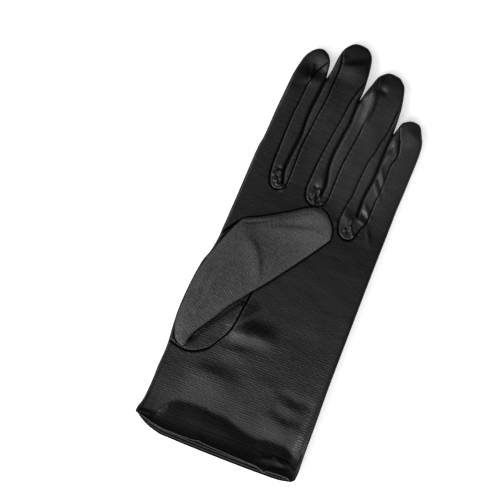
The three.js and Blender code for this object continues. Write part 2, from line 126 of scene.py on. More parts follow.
SLIT_2 = [
    (5.05, 86), (5, 80), (4.9, 75), (4.1, 70), (3.3, 63.6), (2.6, 57), (2.6, 51), (3.4, 46),
    (4.7, 40), (4.2, 34.5),
]
RING_TIP = [
    (6, 90), (7.2, 94.3), (8.5, 98), (10, 102.6), (12.2, 105.3), (15.4, 107.2), (20.7, 106.8),
    (23.2, 105.1), (25.1, 103), (26.3, 99.3), (27.6, 93), (28, 88.7), (28.3, 84),
]
SLIT_3 = [
    (28.2, 76.8), (27.7, 72), (27.4, 60), (27.3, 54), (26.6, 48), (25.7, 40), (26, 30.8),
]
RIGHT_SIDE = [
    (29.3, 80.5), (30.4, 84.3), (32, 86.1), (35.4, 87.7), (39.3, 87.3), (41.2, 85.4),
    (42.5, 82.8), (44.2, 79.3), (45.1, 75), (45.3, 68), (45.1, 60), (44.9, 51), (44.5, 40),
    (44.5, 30), (44.3, 0), (44.4, -40), (44.5, -60), (45, -80), (45.2, -95), (45.6, -106),
    (45.4, -112), (45.4, -125),
]
print("sides", len(LEFT_SIDE), len(RIGHT_SIDE), "places")

# %% [markdown]
# ## The seams
# A fourchette is a narrow strip that is sewn in between two fingers. Its seam runs down the side
# of one finger, round the web and up the side of the next. The thumb is a piece of its own, set
# into a teardrop hole in the palm, and its folded part has an outline of its own.

# %% Seams of the strips and the thumb
FOURCHETTE_SEAMS = {
    "index_middle": [
        (-15.3, 104), (-17, 101.4), (-19.4, 97.4), (-21.3, 93), (-22.6, 88.5), (-23.3, 85),
        (-23.8, 77), (-24.6, 71), (-25.1, 60), (-25.3, 50), (-25.4, 42), (-25.2, 38.7),
        (-24.7, 34.7), (-23.3, 31), (-22, 29.5), (-20, 28.7), (-17.4, 29.3), (-15.3, 31),
        (-14.7, 33.3), (-14.5, 40), (-14.4, 54.8), (-13.2, 66), (-12.2, 75), (-11.3, 81),
        (-10.7, 92), (-10.3, 99), (-11, 105), (-13.2, 110.8),
    ],
    "middle_ring": [
        (6.9, 100.4), (5.4, 98), (4.2, 95.6), (2.8, 91.8), (1.3, 85.5), (0.6, 79), (-0.3, 73),
        (-1.3, 66.7), (-2.2, 60.5), (-3, 54), (-3.6, 48), (-4.1, 40), (-4.3, 35.3),
        (-3.3, 31.3), (-2, 29.3), (1.7, 27.2), (4.6, 27.4), (6.7, 28.7), (8.3, 32.7),
        (8.6, 42), (8.8, 51.7), (9.4, 57), (10.3, 63.6), (11.3, 70), (11.9, 77), (12.8, 82.4),
        (13.5, 88.7), (12.5, 94.3), (11.3, 98.7), (11, 102), (10.5, 105.6),
    ],
    "ring_little": [
        (28.8, 95.8), (27.3, 92.6), (26.6, 90), (26, 83.7), (25.4, 77.4), (23.8, 71),
        (22.9, 65.5), (21.3, 60), (20.7, 53.6), (20.2, 47), (20, 40), (19.2, 36.7),
        (18.3, 31.7), (18, 26.7), (18.5, 22.3), (19.7, 19.3), (21.7, 17.7), (24, 16.7),
        (27.3, 17.8), (29, 20.7), (30, 25), (31.7, 28.7), (32, 35), (32.2, 41.7),
        (32.9, 50), (33, 62), (34.5, 68), (32.8, 75), (30.8, 80), (28.8, 85.6),
    ],
}
THUMB_SEAM = [  # the hole that the thumb piece is set into, clockwise from its fingers' end
    (-38.6, -5), (-34, 2), (-30, 6), (-24.7, 2.4), (-18.4, -2.4), (-14, -8.3),
    (-11.5, -17.8), (-11.8, -29.6), (-12.9, -38.4), (-13.7, -44.6), (-15.5, -50.8),
    (-18.4, -56), (-20.7, -60), (-22.9, -62.6), (-28.7, -66.2), (-33.5, -67.2), (-38.5, -66.6),
    (-46, -64),
]
THUMB_FLAP = [  # the folded thumb's own outline, clockwise from its lowest point
    (-35.6, -65.7), (-40, -63.4), (-42.2, -58.8), (-43.2, -54.5), (-43.5, -49.4),
    (-43.3, -42), (-42.8, -34.7), (-42, -27.4), (-40.6, -20.6), (-38, -12.4),
    (-34.9, -3.6), (-32, 3), (-29, 8.1), (-20.7, 12.3), (-13.3, 16.7), (-7.4, 20.3),
    (0, 25.1), (4.6, 26.9), (8.2, 26.9), (10.9, 25.5), (13.8, 22.5), (16, 18.9),
    (16.9, 14.5), (16, 12.2), (8.7, 1.3), (1.4, -9), (-5.9, -18.9), (-13.3, -28.1),
    (-20.7, -37.6), (-26.5, -47.2), (-30.2, -53), (-32.4, -56.7), (-33.8, -60.4),
    (-34.4, -63.6),
]
print("seams", list(FOURCHETTE_SEAMS), "thumb seam", len(THUMB_SEAM), "places")

# %% [markdown]
# ## Smooth curves through the places
# Cloth edges have no corners, so each list becomes a smooth curve through its places, which is
# then cut into steps of one length. Even steps give even triangles.

# %% Curves
SHIFT = (0.4, -0.2)  # from the middle of the outline to the middle of the frame, in mm
SPACING = 0.8  # distance between neighbouring points of the fine mesh, in mm
SLIT = 0.08  # half the opening of a slit while the pieces are cut, in mm
CURVE_STEPS = 12  # steps between two places, before the curve is made even


def run_along(line):
    """How far along the line each of its points is."""
    return np.concatenate([[0], np.cumsum(np.linalg.norm(np.diff(line, axis=0), axis=1))])


def even_curve(places, spacing=SPACING, closed=False):
    """A smooth curve through the places, as evenly spaced points."""
    p = np.array(places, float) + SHIFT
    ends = (p[-1:], p[:2]) if closed else (2 * p[:1] - p[1:2], 2 * p[-1:] - p[-2:-1])
    p = np.vstack([ends[0], p, ends[1]])
    t = np.linspace(0, 1, CURVE_STEPS, endpoint=False)[:, None]
    fine = []
    for a, b, c, d in zip(p[:-3], p[1:-2], p[2:-1], p[3:]):
        bend = (2 * a - 5 * b + 4 * c - d) * t**2 + (3 * b - a - 3 * c + d) * t**3
        fine.append(b + 0.5 * ((c - a) * t + bend))
    fine = np.vstack([*fine, p[-2:-1]])
    run = run_along(fine)
    even = np.linspace(0, run[-1], max(2, int(round(run[-1] / spacing)) + 1))
    points = np.column_stack([np.interp(even, run, fine[:, k]) for k in (0, 1)])
    return points[:-1] if closed else points


def both_sides(places):
    """Down one edge of a slit, round its end and up the other edge."""
    line = even_curve(places)
    return np.vstack([line - (SLIT, 0), line[-1:] - (0, 2 * SLIT), line[::-1] + (SLIT, 0)])


outline = np.vstack([
    even_curve(LEFT_SIDE), both_sides(SLIT_1), even_curve(MIDDLE_TIP), both_sides(SLIT_2),
    even_curve(RING_TIP), both_sides(SLIT_3), even_curve(RIGHT_SIDE),
])
slits = [even_curve(places) for places in (SLIT_1, SLIT_2, SLIT_3)]
seams = {name: even_curve(places) for name, places in FOURCHETTE_SEAMS.items()}
thumb_seam = even_curve(THUMB_SEAM)
flap_outline = even_curve(THUMB_FLAP, closed=True)
flap_ring = np.vstack([flap_outline, flap_outline[:1]])
print("outline", len(outline), "points, flap", len(flap_outline))

# %% [markdown]
# ## Measuring from a line
# Nearly every shape here depends on how far a point is from an edge or a seam, and how far along
# it. One helper measures both, a second tells which points lie inside an outline, and a third
# makes a soft relief that is the same each time, because its seed is fixed.

# %% Measuring helpers
CHUNK = 4000  # points measured at a time, to spare memory
TINY = 1e-12  # stands in for a length of 0, which nothing can be divided by


def near(points, line):
    """Distance to the nearest place on a line, and how far along the line that place is."""
    a, b = line[:-1], line[1:]
    step = b - a
    size = np.maximum((step**2).sum(1), TINY)
    run = np.concatenate([[0], np.cumsum(np.sqrt(size))])[:-1]
    best = np.empty(len(points))
    along = np.empty(len(points))
    for start in range(0, len(points), CHUNK):
        p = points[start : start + CHUNK, None, :]
        t = np.clip(((p - a) * step).sum(2) / size, 0, 1)
        gap = ((a + t[..., None] * step - p) ** 2).sum(2)
        k = gap.argmin(1)
        rows = np.arange(len(k))
        best[start : start + CHUNK] = np.sqrt(gap[rows, k])
        along[start : start + CHUNK] = run[k] + t[rows, k] * np.sqrt(size[k])
    return best, along


def inside(points, loop):
    """Which points lie inside a closed outline."""
    a, b = loop, np.roll(loop, -1, axis=0)
    hit = np.zeros(len(points), bool)
    for start in range(0, len(points), CHUNK):
        x, y = points[start : start + CHUNK, :1], points[start : start + CHUNK, 1:]
        crosses = (a[:, 1] > y) != (b[:, 1] > y)
        slope = (b[:, 0] - a[:, 0]) / np.where(b[:, 1] == a[:, 1], 1, b[:, 1] - a[:, 1])
        hit[start : start + CHUNK] = (crosses & (x < a[:, 0] + slope * (y - a[:, 1]))).sum(1) % 2
    return hit


print("the palm's middle is inside", bool(inside(np.zeros((1, 2)), outline)[0]))

# %% Soft steps, lines beside lines, and relief
LATTICE = 256  # places each way after which the relief repeats
FAR_IN = 100.0  # places by which it is moved, so that none is below 0


def beside(line, distance):
    """The line moved square to itself."""
    step = np.gradient(line, axis=0)
    step /= np.maximum(np.linalg.norm(step, axis=1), TINY)[:, None]
    return line + np.column_stack([step[:, 1], -step[:, 0]]) * distance


def relief(x, y, wide, tall, seed):
    """Smooth irregular heights about 0, in patches wide by tall millimetres."""
    lattice = np.random.default_rng(seed).uniform(-1, 1, (LATTICE, LATTICE))
    u, v = x / wide + FAR_IN, y / tall + FAR_IN
    i, j = np.floor(u).astype(int), np.floor(v).astype(int)
    fu, fv = u - i, v - j
    fu, fv = fu * fu * (3 - 2 * fu), fv * fv * (3 - 2 * fv)

    def at(right, up):
        return lattice[(i + right) % LATTICE, (j + up) % LATTICE]

    low = at(0, 0) * (1 - fu) + at(1, 0) * fu
    high = at(0, 1) * (1 - fu) + at(1, 1) * fu
    return low * (1 - fv) + high * fv


def smooth_step(value, low, high):
    """0 up to low, 1 from high on, and an S curve between them."""
    t = np.clip((value - low) / (high - low), 0, 1)
    return t * t * (3 - 2 * t)


print("relief sample", relief(np.array([1.0, 9.0]), np.array([2.0, 3.0]), 8, 8, 1).round(3))

# %% [markdown]
# ## Folds and dents
# An empty glove is never smooth: the cloth puffs up, sinks and bunches. A cloth simulation could
# make folds, but not these ones in these places. So each soft ridge or dent is one row here, with
# its middle, direction, half length, half breadth and rise, all in millimetres and degrees.

# %% Folds and dents of the palm side
FOLDS = [
    # x, y, turn, length, breadth, rise
    (-21.5, 95.6, 8, 6, 5.2, -2), (-21, 90, 8, 5, 3, 0.6), (10.2, 96, 0, 3.2, 8, 1),
    (14.4, 104, 30, 3, 2.2, -0.3), (12, -70, -6, 14, 5, 0.3), (30.3, 55.5, -62, 6, 1, 0.7),
    (29.3, 52.5, -62, 6, 1, -0.6), (31, 47, -58, 4.5, 1.1, 0.6), (30.8, 66, 70, 4, 1.1, 0.8),
    (31.5, 72, 110, 4, 1.1, 0.7), (29.8, 70, 60, 4, 1.1, -0.7), (29.4, 35, -52, 4, 1.1, 0.8),
    (28.8, 32.2, -30, 2.6, 1.1, -0.7), (29, 28.6, -20, 2.6, 1.2, 0.6),
    (34.6, 23.5, -64, 4, 1, 0.35), (16.6, 23.6, 0, 0.9, 0.9, 0.4), (6.3, 62, 86, 16, 2, 0.3),
    (14.5, 70, 85, 26, 1.6, 0.15), (-6.5, 72, 84, 26, 1.6, 0.15), (18, 48, 86, 14, 2.4, 0.4),
    (27, -106, 12, 5, 0.9, 0.45), (35, -105.2, -10, 4, 0.9, 0.45), (34, -107.6, 14, 5, 1, -0.5),
    (-41.5, -105.4, 4, 4.5, 0.9, 0.4),
]


def folds_at(x, y, rows):
    """The height of all folds together."""
    total = np.zeros_like(x)
    for cx, cy, turn, length, breadth, rise in rows:
        c, s = math.cos(math.radians(turn)), math.sin(math.radians(turn))
        dx, dy = x - cx - SHIFT[0], y - cy - SHIFT[1]
        lengthways, sideways = (dx * c + dy * s) / length, (dy * c - dx * s) / breadth
        total += rise * np.exp(-(lengthways**2) - sideways**2)
    return total


fold_peaks = np.array([row[:2] for row in FOLDS]) + SHIFT
print("folds rise by", folds_at(*fold_peaks.T, FOLDS).round(1))

# %% [markdown]
# ## Creases
# Cloth often falls steeply on one side of a fold and slowly on the other, and such a crease
# follows a line of its own. So each crease has a line, one breadth on the left of it and another
# on the right. The bunched cloth between two fingers is made of the shortest and narrowest ones.

# %% Creases of the palm side
CREASES = [
    # rise, breadth on the left, breadth on the right, the line that the crease follows
    # the bunched cloth between the index and the middle finger
    (0.8, 0.5, 0.5, [(-22.9, 34.6), (-22.9, 36.2), (-20.7, 38.2), (-18.7, 37.2), (-18.3, 34.6)]),
    (0.6, 0.45, 0.45, [(-22, 32.2), (-20.4, 33.4), (-19.6, 31.2), (-17.8, 32.2)]),
    (-0.8, 0.5, 0.5, [(-21.6, 35.4), (-20.2, 35.6)]),
    (-0.8, 0.45, 0.45, [(-19.4, 34.4), (-19.4, 32.2)]),
    (0.6, 1.6, 0.8, [(-18.4, 28.6), (-16.6, 29.2), (-14.4, 32.8)]),
    (-0.5, 0.7, 0.7, [(-23, 39.4), (-19.6, 40)]),
    # between the middle and the ring finger
    (0.85, 0.45, 0.45, [(-1.3, 32.4), (0.6, 34.8), (2.1, 36.6), (3.4, 34.6), (4.6, 31.4)]),
    (0.8, 0.42, 0.42, [(1.4, 34.2), (1.2, 31), (2.5, 28.9), (4.2, 29.9)]),
    (-0.8, 0.5, 0.5, [(2.6, 34), (2.7, 31)]),
    (-0.7, 0.5, 0.5, [(-0.4, 31.6), (0.2, 29.6)]),
    (-0.7, 0.8, 0.8, [(-1.4, 37), (1.6, 37.6)]),
    (0.5, 0.8, 0.8, [(5.6, 28.9), (8, 31.8)]),
    (0.8, 2, 3, [(2.2, 48), (2.6, 42), (3.2, 36)]),
    # between the ring and the little finger
    (0.85, 0.42, 0.42, [(22, 20.6), (24.3, 24.2), (26, 21.8), (27.7, 19.6)]),
    (0.5, 0.4, 0.4, [(24.3, 24.2), (24.2, 28.6)]),
    (-0.8, 0.5, 0.5, [(22.4, 22.8), (23.6, 23)]),
    (-0.7, 0.4, 0.4, [(24.4, 22.2), (24, 19.8)]),
    (0.5, 0.7, 0.7, [(26.8, 18.6), (29.4, 21.8)]),
    (0.9, 2.6, 2.6, [(18.6, 33), (21.2, 28.4), (24.2, 23.8)]),
    # the fingertips
    (0.6, 0.7, 0.7, [(-24, 97.5), (-22.4, 87)]),
    (-0.8, 0.6, 0.6, [(32, 76.6), (33.6, 73.4)]),
    (1.2, 2.2, 6, [(-12.5, 99.6), (-4, 103.2), (5.2, 108.4)]),
    (0.5, 0.8, 2, [(-10.7, 103.2), (-11.1, 107.4)]),
    (-0.9, 1.7, 1.7, [(12, 97.8), (15, 96.8), (18.6, 96.2)]),
    (1.5, 3.4, 0.7, [(11.8, 74), (12.8, 82), (13.2, 88), (12.2, 93.6), (10.9, 99)]),
    (0.9, 2.6, 5, [(33.5, 81), (38, 80.4), (43, 78)]),
    # the palm beside the thumb's hole
    (2.2, 6, 3.9, [(-18, -51), (-11, -49.2), (-4, -48), (3, -47.2), (12, -46.8)]),
    (1.1, 6, 1.1, [(-16.6, -48.6), (-10, -40.8), (-3.6, -32.4)]),
    (-0.9, 2, 2.4, [(-34, -63), (-29.4, -53.4), (-24.4, -45.4), (-18, -36.6), (-12, -28)]),
    (0.7, 2.6, 5, [(-18, -61.2), (-9, -59), (3, -57.4)]),
    (1.3, 5, 9, [(-30, -76), (-14, -74.8), (2, -76.4)]),
    # the palm at the little finger's side
    (-0.35, 2.4, 2.4, [(18, -71.8), (24, -70.6), (31, -72), (36, -71.4), (42, -73.6)]),
    (0.5, 2, 4, [(20, -76.6), (38, -76.8)]),
    (1, 3.2, 8, [(14, -86.6), (21, -85.2), (29, -87), (35, -86.6), (43, -90)]),
    (0.32, 4, 0.6, [(41.4, -106), (41.9, -90), (42.3, -70), (42.6, -45), (42.8, -15)]),
    (0.5, 0.4, 0.4, [(-20.4, -59), (-16.6, -52.4), (-14.2, -45), (-13.2, -38), (-12.8, -29)]),
    (0.3, 0.5, 0.5, [(22, -104.4), (27, -105), (31, -103.9), (37, -104), (44, -106.6)]),
]
CREASE_SPACING = 0.4  # between the points of a crease's line
CREASE_REACH = 2.6  # breadths beyond which a crease is left out
SIDE_STEP = 0.05  # how far the line is moved to tell its left from its right
FADE_FROM, FADE_TO = -0.3, 2.2  # breadths from its end between which it fades in


def creases_at(points, rows):
    """The height of all creases together."""
    total = np.zeros(len(points))
    for rise, left, right, places in rows:
        line = even_curve(places, CREASE_SPACING)
        widest = max(left, right)
        reach = CREASE_REACH * widest
        low, high = line.min(0) - reach, line.max(0) + reach
        close = np.flatnonzero(((points > low) & (points < high)).all(1))
        if not len(close):
            continue
        gap, along = near(points[close], line)
        moved = [near(points[close], beside(line, step))[0] for step in (-SIDE_STEP, SIDE_STEP)]
        side = np.clip((moved[0] - moved[1]) / (2 * SIDE_STEP), -1, 1)
        breadth = left + (right - left) * (0.5 + 0.5 * side)
        run = run_along(line)[-1]
        to_end = np.minimum(along, run - along)
        ends = smooth_step(to_end, FADE_FROM * widest, min(FADE_TO * widest, 0.5 * run))
        total[close] += rise * ends * np.exp(-((gap / breadth) ** 2))
    return total


print("creases", len(CREASES), "beside the thumb", creases_at(np.array([[-4.0, -48.0]]), CREASES))

# %% [markdown]
# ## The long dent above the hem
# The stitched hem is stiffer than the rest, so the palm's cloth sinks in just above it, in one
# long dent with a gentle slope from the palm and a steep one back up to the hem.

# %% Long dent
TROUGH = [  # the bottom line of the dent
    (-46, -108.4), (-40, -107.2), (-36.5, -103.2), (-34, -99.2), (-31, -95.6),
    (-27, -93.2), (-20, -92.4), (-12.7, -92.2), (-7.3, -93.2), (-0.7, -93.2), (6.7, -95.4),
    (14, -97.4), (19, -98), (23.3, -96.4), (33.3, -96), (38.7, -98.6), (46, -102),
]
TROUGH_DEPTH = 3.3
TROUGH_REACH = (24.0, 10.0)  # how far it slopes up towards the palm, and towards the hem
TROUGH_SOFTNESS = 0.9  # half the width over which its bottom is rounded
TROUGH_LEFT, TROUGH_RIGHT = (-47.0, -36.0), (45.0, 38.0)  # x from and to where it fades in
TROUGH_LEAST = 0.4  # share of its depth that is left at the sides


def trough_at(x, y):
    """The depth of the long dent."""
    bottom = np.array(TROUGH) + SHIFT
    gap = y - np.interp(x, bottom[:, 0], bottom[:, 1])
    reach = np.where(gap > 0, *TROUGH_REACH)
    fade = smooth_step(x, *TROUGH_LEFT) * smooth_step(x, *TROUGH_RIGHT)
    sharp = np.hypot(gap, TROUGH_SOFTNESS) - TROUGH_SOFTNESS
    depth = TROUGH_DEPTH * (TROUGH_LEAST + (1 - TROUGH_LEAST) * fade)
    return -depth * np.exp(-sharp / reach)


print("dent", trough_at(np.array([0.0]), np.array([-93.0])).round(2), "mm at its middle")

# %% [markdown]
# ## How high the plain cloth lies
# A flat empty glove is nearly level right up to its edges, where the cloth turns over in a round
# side. The side, a narrow shoulder beside it and a slow crown are three curves of the distance
# from the edge, added up. The back is flat on the floor and curls up only at the edge.

# %% Plain heights
HAND_RISE, FINGER_RISE = 9.2, 7.9
HAND_BEGINS = (36.0, -8.0)  # y between which the fingers' sizes become the hand's
FINGER_REACH, HAND_REACH = 8.2, 20.2  # how far in the cloth has its full height
EDGE_SHARE = 0.62  # share of the height at which the outer edge runs
SIDE_BREADTH = 0.62  # how far in the side turns into the upper cloth
SHOULDER, SHOULDER_BREADTH = 0.6, 1.5  # the quick rise beside the side
CROWN = 0.4  # the slow rise from there to the middle
RISE_SHAPE = 1.8  # 1 makes a slow rise straight, more makes it faster at first
BACK_CURL, BACK_ROUNDNESS = 4.5, 2.2  # how far in the back curls up, and its curve


def rounded(share, power):
    """A curve that rises steeply and levels off at share 1."""
    return (1 - (1 - np.clip(share, 0, 1)) ** power) ** (1 / power)


def roll(share):
    """A quarter circle."""
    return np.sqrt(1 - (1 - np.clip(share, 0, 1)) ** 2)


def slow_rise(share):
    """A curve that rises fast at first and then ever more slowly."""
    return 1 - (1 - np.clip(share, 0, 1)) ** RISE_SHAPE


def body_levels(points):
    """Distance from the edge, full height, and how far in the cloth is level."""
    edge, _ = near(points, outline)
    towards_hand = smooth_step(points[:, 1], *HAND_BEGINS)
    height = FINGER_RISE + (HAND_RISE - FINGER_RISE) * towards_hand
    reach = FINGER_REACH + (HAND_REACH - FINGER_REACH) * towards_hand
    return edge, height, reach


def plain_top(levels):
    """Upper cloth without seams and folds: a round side, its shoulder and a slow crown."""
    edge, height, reach = levels
    side = height * (1 - EDGE_SHARE) - SHOULDER - CROWN
    return (
        height * EDGE_SHARE
        + side * roll(edge / SIDE_BREADTH)
        + SHOULDER * slow_rise(edge / SHOULDER_BREADTH)
        + CROWN * slow_rise(edge / reach)
    )


def bottom_height(levels):
    """The back's cloth, which lies on the floor."""
    edge, height, _ = levels
    return EDGE_SHARE * height * (1 - rounded(edge / BACK_CURL, BACK_ROUNDNESS))


SAMPLE = np.array([[0, 0], [-5, 70], [44, 0]], float)
sample_levels = body_levels(SAMPLE)
print("plain top", plain_top(sample_levels).round(2), "back", bottom_height(sample_levels).round(2))

# %% [markdown]
# ## Seams, slits and the whole upper cloth
# Stitches pull the cloth down into a narrow groove, which looks like a dark line because its two
# walls face each other. Beside it the cloth puckers between one stitch and the next. A displace
# modifier with a drawn picture could do that too, but a groove that follows the line's own
# distance stays sharp from any side.

# %% Seams, slits and upper height
SEAM_BREADTH, SEAM_DEPTH, FINGER_SEAM_DEPTH = 0.68, 1.1, 0.75
SLIT_BREADTH, SLIT_DEPTH = 1.0, 3.2
GROOVE_SHAPE = 1.5  # 1 gives a groove straight walls, more makes them hollow
FLAP_DENT, FLAP_DENT_BREADTH = 1.0, 0.75  # the folded thumb presses the palm down at its edge
PUCKER, PUCKER_PITCH = 0.07, 3.1  # rise of a pucker, and distance to the next
PUCKER_NEAR, PUCKER_FAR = 0.5, 1.6  # how far off the seam puckers begin, and fade out
WANDER_LENGTH = 14.0  # how far along a seam it keeps much the same
WANDER_DEPTH, WANDER_PITCH = 0.5, 2.5  # how much its depth and its puckers then differ
RELIEFS = [
    # rise, width and height of its patches, seed, y from and to where it fades in
    (0.07, 9.0, 5.0, 21, None), (0.025, 5.0, 2.0, 22, None),
    (0.22, 26.0, 14.0, 23, (20, -10)), (0.3, 8.0, 16.0, 24, (20, 40)),
]
THUMB_SEAM_SEED = 9
DETAIL_BEGINS = 2.0  # how far in the folds and seams have their full height
LEAST_SHARE = 0.26  # share of the height that the upper cloth always keeps


def groove(points, line, depth, breadth):
    """A narrow groove with steep walls and sharp shoulders."""
    gap, along = near(points, line)
    return -depth * np.clip(1 - gap / breadth, 0, 1) ** GROOVE_SHAPE, gap, along


def seam_groove(points, line, depth, seed):
    """A groove of uneven depth with puckers beside it."""
    dip, gap, along = groove(points, line, depth, SEAM_BREADTH)
    wander = relief(along, np.zeros_like(along), WANDER_LENGTH, 1.0, seed)
    pucker = np.cos(2 * math.pi * along / PUCKER_PITCH + WANDER_PITCH * wander)
    pucker *= PUCKER * np.exp(-gap / PUCKER_FAR) * (1 - np.exp(-gap / PUCKER_NEAR))
    return dip * (1 + WANDER_DEPTH * wander) + pucker


def top_height(points, levels):
    """The upper cloth with its folds, creases, seams and slits."""
    edge, height, _ = levels
    x, y = points.T
    detail = folds_at(x, y, FOLDS) + creases_at(points, CREASES) + trough_at(x, y)
    for seed, line in enumerate(seams.values()):
        detail += seam_groove(points, line, FINGER_SEAM_DEPTH, seed)
    detail += seam_groove(points, thumb_seam, SEAM_DEPTH, THUMB_SEAM_SEED)
    for rise, wide, tall, seed, fades_in in RELIEFS:
        share = smooth_step(y, *fades_in) if fades_in else 1.0
        detail += rise * relief(x, y, wide, tall, seed) * share
    detail += groove(points, flap_ring, FLAP_DENT, FLAP_DENT_BREADTH)[0]
    z = plain_top(levels) + smooth_step(edge, 0.0, DETAIL_BEGINS) * detail
    for line in slits:
        z += groove(points, line, SLIT_DEPTH, SLIT_BREADTH)[0]
    return np.maximum(z, LEAST_SHARE * height)


print("top", top_height(SAMPLE, sample_levels).round(2))

# %% [markdown]
# ## Cutting the flat pieces
# Pieces modelled one by one would have to be matched along their shared seams. Instead all lines
# go into one triangulation, which keeps every line as an edge. Each triangle then belongs to the
# piece whose outline holds its middle, so neighbours share their seam exactly. Rows of points
# close to the edges and seams give the round side and the grooves enough triangles, and the
# points lie closer together at the webs, where the cloth bunches.

# %% Fine mesh
WEBS = [(-19.5, 34.0), (2.5, 33.0), (25.0, 23.0)]  # where the cloth bunches between two fingers
WEB_REACH = 6.5
WEB_SPACING = 0.34
SEAM_ROWS = (0.3, 0.62)  # extra rows of points beside a seam, which shape its groove
EDGE_ROWS = (0.06, 0.2, 0.42, 0.85)  # and rows inside the outer edge, which shape its round side
ROW_SHARE, GRID_SHARE = 0.85, 0.4  # shares of their own spacing that rows and grid keep clear
LINE_ROOM, LOOP_ROOM = 0.85, 0.45  # room between the grid and a seam, and the loop
RIM_ROOM, END_ROOM = 0.3, 1.0  # room between edge rows and a seam, and seam rows and the edge
SAME_PLACE, FLAT = 1e-5, 1e-7  # places this near are one, and triangles this small are left out


def grid_of(low, high, spacing):
    """Places in staggered rows."""
    columns = np.arange(low[0], high[0], spacing)
    rows = np.arange(low[1], high[1], spacing * math.sqrt(0.75))
    grid_x, grid_y = np.meshgrid(columns, rows)
    grid_x = grid_x + (np.arange(len(rows)) % 2)[:, None] * spacing / 2
    return np.column_stack([grid_x.ravel(), grid_y.ravel()])


def fine_mesh(loop, lines, edge_line, spacing=SPACING, edge_rows=EDGE_ROWS):
    """Points and triangles that fill a loop and keep the extra lines as edges."""
    grid = grid_of(loop.min(0), loop.max(0), spacing)
    for web in WEBS if lines else []:
        centre = np.array(web) + SHIFT
        extra = grid_of(centre - WEB_REACH, centre + WEB_REACH, WEB_SPACING)
        extra = extra[np.linalg.norm(extra - centre, axis=1) < WEB_REACH]
        grid = np.vstack([grid[np.linalg.norm(grid - centre, axis=1) >= WEB_REACH], extra])
    grid = grid[inside(grid, loop)]
    clear = near(grid, edge_line)[0] > edge_rows[-1] + GRID_SHARE * spacing
    for line in lines:
        clear &= near(grid, line)[0] > LINE_ROOM
    clear &= near(grid, np.vstack([loop, loop[:1]]))[0] > LOOP_ROOM
    grid = grid[clear]
    rims = []
    for depth in edge_rows:
        rim = beside(edge_line, depth)
        keep = inside(rim, loop) & (near(rim, edge_line)[0] > depth * ROW_SHARE)
        for line in lines:
            keep &= near(rim, line)[0] > RIM_ROOM
        rims.append(rim[keep])
    for line in lines:
        for distance in (*SEAM_ROWS, *[-row for row in SEAM_ROWS]):
            row = beside(line, distance)
            keep = inside(row, loop) & (near(row, edge_line)[0] > END_ROOM)
            for other in lines:
                keep &= near(row, other)[0] > abs(distance) * ROW_SHARE
            rims.append(row[keep])
    places = np.vstack([loop, *lines, grid, *rims])
    edges, start = [], len(loop)
    for line in lines:
        edges += [(start + i, start + i + 1) for i in range(len(line) - 1)]
        start += len(line)
    made = delaunay_2d_cdt(
        [Vector(p) for p in places], edges, [list(range(len(loop)))], 1, SAME_PLACE, False
    )
    points = np.array([tuple(p) for p in made[0]])
    faces = np.array([tuple(f) for f in made[2] if len(f) == 3])
    a, b, c = points[faces[:, 0]], points[faces[:, 1]], points[faces[:, 2]]
    turn = (b - a)[:, 0] * (c - a)[:, 1] - (b - a)[:, 1] * (c - a)[:, 0]
    faces[turn < 0] = faces[turn < 0][:, ::-1]
    faces = faces[(np.abs(turn) > FLAT) & inside((a + b + c) / 3, loop)]
    return points, faces


print("a square centimetre has", len(grid_of((0, 0), (10, 10), SPACING)), "points")

# %% [markdown]
# ## Which triangle belongs to which piece
# The outline is closed by a straight line above the cuff, where the hem begins. The back is
# smooth and hardly seen, so it gets a coarser mesh of its own, with the same points along its
# edge as the palm side has.

# %% Cut the pieces
HEM_LINE = -104.2  # y of the line where the hem is stitched
HEM_STEPS = 96  # points along that line
HEM_ROOM = 0.3  # room between that line and the outline's next point
SIDE_POINTS = 60  # points of the outline that follow one side past the cuff
BACK_SPACING = 2.4
BACK_ROWS = (0.25, 0.9, 2.2)


def side_at(y, run):
    """Where a side of the glove is at this distance along the hand."""
    order = run[np.argsort(run[:, 1])]
    return np.interp(y, order[:, 1], order[:, 0])


left_run, right_run = outline[:SIDE_POINTS], outline[-SIDE_POINTS:]
left_end = (side_at(HEM_LINE, left_run), HEM_LINE)
right_end = (side_at(HEM_LINE, right_run), HEM_LINE)
hem_run = np.linspace(right_end, left_end, HEM_STEPS + 1)
above_hem = outline[outline[:, 1] > HEM_LINE + HEM_ROOM]
glove_loop = np.vstack([left_end, above_hem, hem_run[:-1]])
points, faces = fine_mesh(glove_loop, [*seams.values(), thumb_seam], outline)
back_points, back_faces = fine_mesh(glove_loop, [], outline, BACK_SPACING, BACK_ROWS)
middles = points[faces].mean(1)
owner = np.full(len(faces), "trank", dtype=object)
for name, line in seams.items():
    owner[inside(middles, line)] = name
owner[inside(middles, thumb_seam)] = "thumb"
print("triangles", {name: int((owner == name).sum()) for name in seams}, len(back_faces))

# %% [markdown]
# ## Lifting the flat pieces
# Each point now goes up to the height of the cloth at its place. The two sheets have the same
# points along the outer edge, where the back joins the palm side, so each edge point of the back
# is paired with its partner. Neighbouring fingers touch, so the slits are shut again.

# %% Lift the pieces
ON_EDGE = 1e-3  # points nearer to the outline than this are on it
SHUT_REACH = 1.5 * SLIT  # how far from a slit's line its edge points are

levels = body_levels(points)
back_levels = body_levels(back_points)
on_edge = levels[0] < ON_EDGE
back_on_edge = back_levels[0] < ON_EDGE
top_z = top_height(points, levels)
back_z = bottom_height(back_levels)


def shut_slits(flat, edge_points):
    """Moves the edge points beside a slit onto its line, so the floor doesn't show there."""
    for line in slits:
        gap, along = near(flat, line)
        shut = edge_points & (gap < SHUT_REACH)
        for k in (0, 1):
            flat[shut, k] = np.interp(along[shut], run_along(line), line[:, k])


